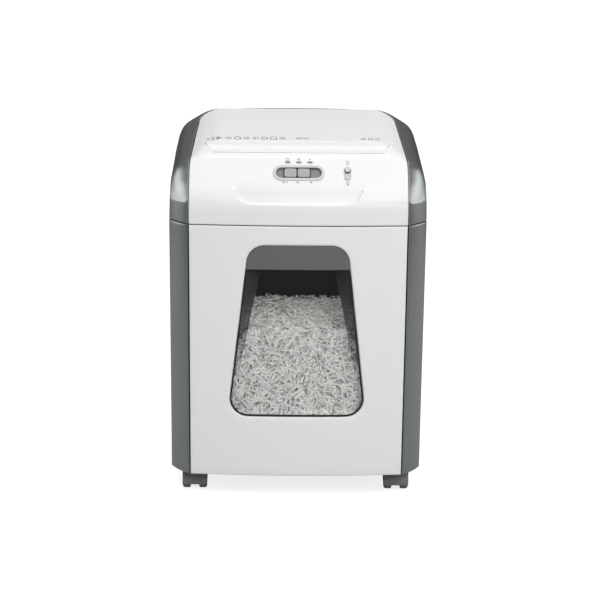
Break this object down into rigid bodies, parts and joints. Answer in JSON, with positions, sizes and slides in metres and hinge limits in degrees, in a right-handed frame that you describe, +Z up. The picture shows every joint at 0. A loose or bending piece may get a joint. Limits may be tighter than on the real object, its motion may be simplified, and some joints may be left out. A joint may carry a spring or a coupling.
{
  "type": "paper shredder",
  "caption": "Free-standing paper shredder: sloping cutting head with a paper slot and slide switch, over a cabinet with a windowed pull-out bin, on twin-wheel casters.",
  "frame": {"origin": "on the floor under the middle of the body", "axes": "+Z up, -Y out of the front, +X to the right seen from the front"},
  "size_m": [0.35, 0.265, 0.5068],
  "materials": {
    "white_shell": "satin white moulded plastic",
    "silver_shell": "silver-grey painted plastic",
    "dark_shell": "fine-textured dark grey plastic",
    "black_plastic": "matt black plastic",
    "switch_grey": "smooth light grey plastic",
    "grip_grey": "mid-grey satin plastic",
    "light_pipe": "clear light pipe",
    "zinc_steel": "zinc-plated sheet steel",
    "cutter_steel": "ground and oiled steel",
    "gear_nylon": "natural nylon",
    "circuit_laminate": "green solder mask",
    "bucket_grey": "fine-textured charcoal plastic",
    "clear_window": "smoke-tinted clear plastic",
    "paper": "loose shredded white paper",
    "caster_grey": "mid-grey nylon and rubber"
  },
  "bodies": {
    "machine": {"head_cover": "white_shell", "head_side_left": "silver_shell", "head_side_right": "silver_shell", "head_back_cover": "dark_shell", "head_base": "black_plastic", "cord_gland": "black_plastic", "mode_switch_bezel": "white_shell", "lock_bezel": "white_shell", "indicator_left": "light_pipe", "indicator_middle": "light_pipe", "indicator_right": "light_pipe", "front_paper_guide": "zinc_steel", "rear_paper_guide": "zinc_steel", "motor_housing": "zinc_steel", "left_side_plate": "zinc_steel", "right_side_plate": "zinc_steel", "gearbox_plate": "zinc_steel", "tie_rod_front": "zinc_steel", "tie_rod_rear": "zinc_steel", "tie_rod_upper": "zinc_steel", "front_comb": "black_plastic", "rear_comb": "black_plastic", "circuit_board": "circuit_laminate", "run_capacitor": "dark_shell", "interlock_switch": "black_plastic", "cabinet_side_left": "silver_shell", "cabinet_side_right": "silver_shell", "cabinet_back": "dark_shell", "cabinet_floor": "dark_shell"},
    "bin": {"bin_front": "white_shell", "window_grip": "grip_grey", "window_seal": "black_plastic", "window_pane": "clear_window", "bin_bucket": "bucket_grey", "paper_shreds": "paper"},
    "slider": {"mode_switch": "switch_grey"},
    "lock": {"lock_knob": "switch_grey"},
    "sensor": {"paper_sensor_lever": "black_plastic"},
    "plunger": {"interlock_plunger": "switch_grey"},
    "rear_roller": {"rear_cutter": "cutter_steel", "rear_cutter_gear": "cutter_steel", "final_gear": "gear_nylon"},
    "front_roller": {"front_cutter": "cutter_steel", "front_cutter_gear": "cutter_steel"},
    "second_stage": {"second_stage_gear": "gear_nylon"},
    "first_stage": {"first_stage_gear": "gear_nylon"},
    "rotor": {"motor_shaft": "cutter_steel", "motor_fan": "black_plastic"},
    "swivel_front_left": {"caster_fork_front_left": "caster_grey"},
    "wheels_front_left": {"caster_wheels_front_left": "caster_grey"},
    "swivel_front_right": {"caster_fork_front_right": "caster_grey"},
    "wheels_front_right": {"caster_wheels_front_right": "caster_grey"},
    "swivel_rear_left": {"caster_fork_rear_left": "caster_grey"},
    "wheels_rear_left": {"caster_wheels_rear_left": "caster_grey"},
    "swivel_rear_right": {"caster_fork_rear_right": "caster_grey"},
    "wheels_rear_right": {"caster_wheels_rear_right": "caster_grey"}
  },
  "joints": [
    {"name": "bin_slide", "type": "slide", "parent": "machine", "child": "bin", "axis": [0, -1, 0], "range_m": [0, 0.26]},
    {"name": "mode_slide", "type": "slide", "parent": "machine", "child": "slider", "axis": [1, 0, 0], "range_m": [-0.0058, 0.0102]},
    {"name": "lock_slide", "type": "slide", "parent": "machine", "child": "lock", "axis": [0, 0.5882, 0.8087], "range_m": [-0.006, 0]},
    {"name": "sensor_pivot", "type": "hinge", "parent": "machine", "child": "sensor", "pos_m": [0, -0.0691, 0.456], "axis": [1, 0, 0], "range_deg": [0, 25], "stiffness_Nm_per_rad": 0.01, "springref_deg": -11.46},
    {"name": "interlock_press", "type": "slide", "parent": "machine", "child": "plunger", "axis": [0, 1, 0], "range_m": [0, 0.003], "stiffness_N_per_m": 100, "springref_m": -0.002},
    {"name": "rear_cutter_spin", "type": "hinge", "parent": "machine", "child": "rear_roller", "pos_m": [0, -0.0666, 0.418], "axis": [1, 0, 0], "continuous": true},
    {"name": "front_cutter_spin", "type": "hinge", "parent": "machine", "child": "front_roller", "pos_m": [0, -0.0996, 0.418], "axis": [1, 0, 0], "continuous": true},
    {"name": "second_stage_spin", "type": "hinge", "parent": "machine", "child": "second_stage", "pos_m": [0.14, -0.03348, 0.43006], "axis": [1, 0, 0], "continuous": true},
    {"name": "first_stage_spin", "type": "hinge", "parent": "machine", "child": "first_stage", "pos_m": [0.14, 0.00493, 0.42328], "axis": [1, 0, 0], "continuous": true},
    {"name": "motor_spin", "type": "hinge", "parent": "machine", "child": "rotor", "pos_m": [0.06, 0.0394, 0.42936], "axis": [1, 0, 0], "continuous": true},
    {"name": "caster_swivel_front_left", "type": "hinge", "parent": "machine", "child": "swivel_front_left", "pos_m": [-0.1403, -0.0892, 0.0135], "axis": [0, 0, 1], "continuous": true},
    {"name": "caster_roll_front_left", "type": "hinge", "parent": "swivel_front_left", "child": "wheels_front_left", "pos_m": [-0.1403, -0.0822, 0.0135], "axis": [1, 0, 0], "continuous": true},
    {"name": "caster_swivel_front_right", "type": "hinge", "parent": "machine", "child": "swivel_front_right", "pos_m": [0.1403, -0.0892, 0.0135], "axis": [0, 0, 1], "continuous": true},
    {"name": "caster_roll_front_right", "type": "hinge", "parent": "swivel_front_right", "child": "wheels_front_right", "pos_m": [0.1403, -0.0822, 0.0135], "axis": [1, 0, 0], "continuous": true},
    {"name": "caster_swivel_rear_left", "type": "hinge", "parent": "machine", "child": "swivel_rear_left", "pos_m": [-0.1403, 0.0976, 0.0135], "axis": [0, 0, 1], "continuous": true},
    {"name": "caster_roll_rear_left", "type": "hinge", "parent": "swivel_rear_left", "child": "wheels_rear_left", "pos_m": [-0.1403, 0.1046, 0.0135], "axis": [1, 0, 0], "continuous": true},
    {"name": "caster_swivel_rear_right", "type": "hinge", "parent": "machine", "child": "swivel_rear_right", "pos_m": [0.1403, 0.0976, 0.0135], "axis": [0, 0, 1], "continuous": true},
    {"name": "caster_roll_rear_right", "type": "hinge", "parent": "swivel_rear_right", "child": "wheels_rear_right", "pos_m": [0.1403, 0.1046, 0.0135], "axis": [1, 0, 0], "continuous": true}
  ],
  "couplings": [
    {"joint": "front_cutter_spin", "follows": "rear_cutter_spin", "ratio": -1},
    {"joint": "second_stage_spin", "follows": "rear_cutter_spin", "ratio": -3.2727},
    {"joint": "first_stage_spin", "follows": "rear_cutter_spin", "ratio": 10.909},
    {"joint": "motor_spin", "follows": "rear_cutter_spin", "ratio": -65.455}
  ]
}
